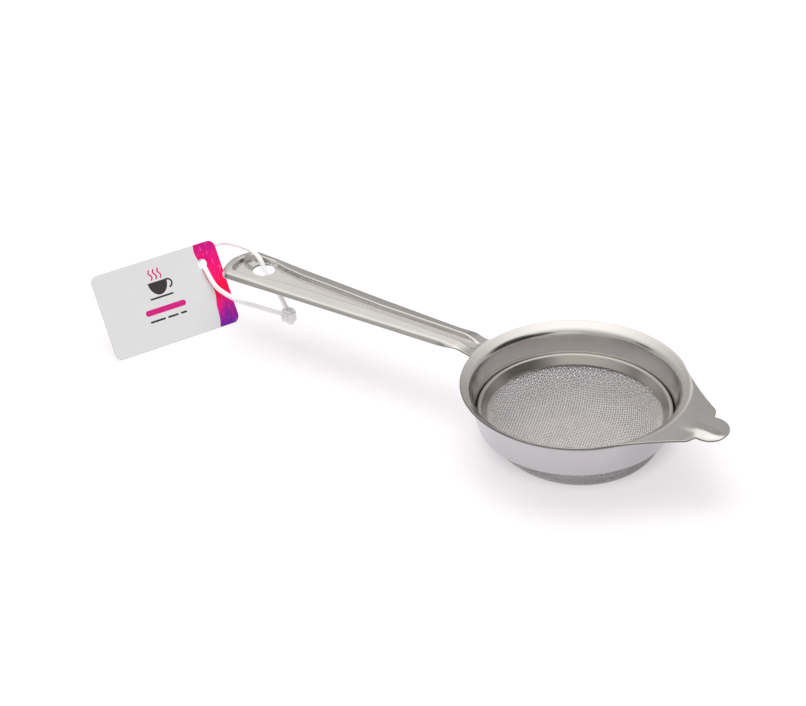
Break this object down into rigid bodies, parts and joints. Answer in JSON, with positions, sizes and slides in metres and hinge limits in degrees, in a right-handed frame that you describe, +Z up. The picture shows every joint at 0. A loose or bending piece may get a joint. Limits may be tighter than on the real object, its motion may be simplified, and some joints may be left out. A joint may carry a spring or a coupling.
{
  "type": "tea strainer",
  "caption": "Hand-held tea strainer: round steel bowl with a wire cloth basket, trough handle, rest tab and a card tag on a loop tie.",
  "frame": {"origin": "middle of the basket's flat bottom, on the surface that the strainer stands on", "axes": "+X from the bowl's axis towards the rest tab, -X along the handle, +Z up along the bowl's axis"},
  "size_m": [0.2654, 0.0896, 0.0362],
  "materials": {
    "frame_steel": "polished stainless steel sheet with a faint satin grain",
    "ring_steel": "satin stainless steel strip, turned",
    "fine_cloth_steel": "plain-woven bright stainless wire",
    "backing_cloth_steel": "plain-woven bright stainless wire",
    "tag_card": "glossy coated card with a printed colour band and a plain cup sign",
    "tie_plastic": "translucent natural nylon"
  },
  "bodies": {
    "strainer": {"frame": "frame_steel", "retaining_ring": "ring_steel", "fine_mesh": "fine_cloth_steel", "backing_mesh": "backing_cloth_steel"},
    "tie": {"tag_loop": "tie_plastic", "loop_lock": "tie_plastic"},
    "tag": {"hang_tag": "tag_card"}
  },
  "joints": [
    {"name": "tie_swing", "type": "hinge", "parent": "strainer", "child": "tie", "pos_m": [-0.1466, 0.0019, 0.0301], "axis": [0, 0, 1], "range_deg": [-45, 45]},
    {"name": "tag_swing", "type": "hinge", "parent": "tie", "child": "tag", "pos_m": [-0.17999, 0.00233, 0.02245], "axis": [-0.7546, 0.3313, -0.5664], "range_deg": [0, 30]}
  ]
}
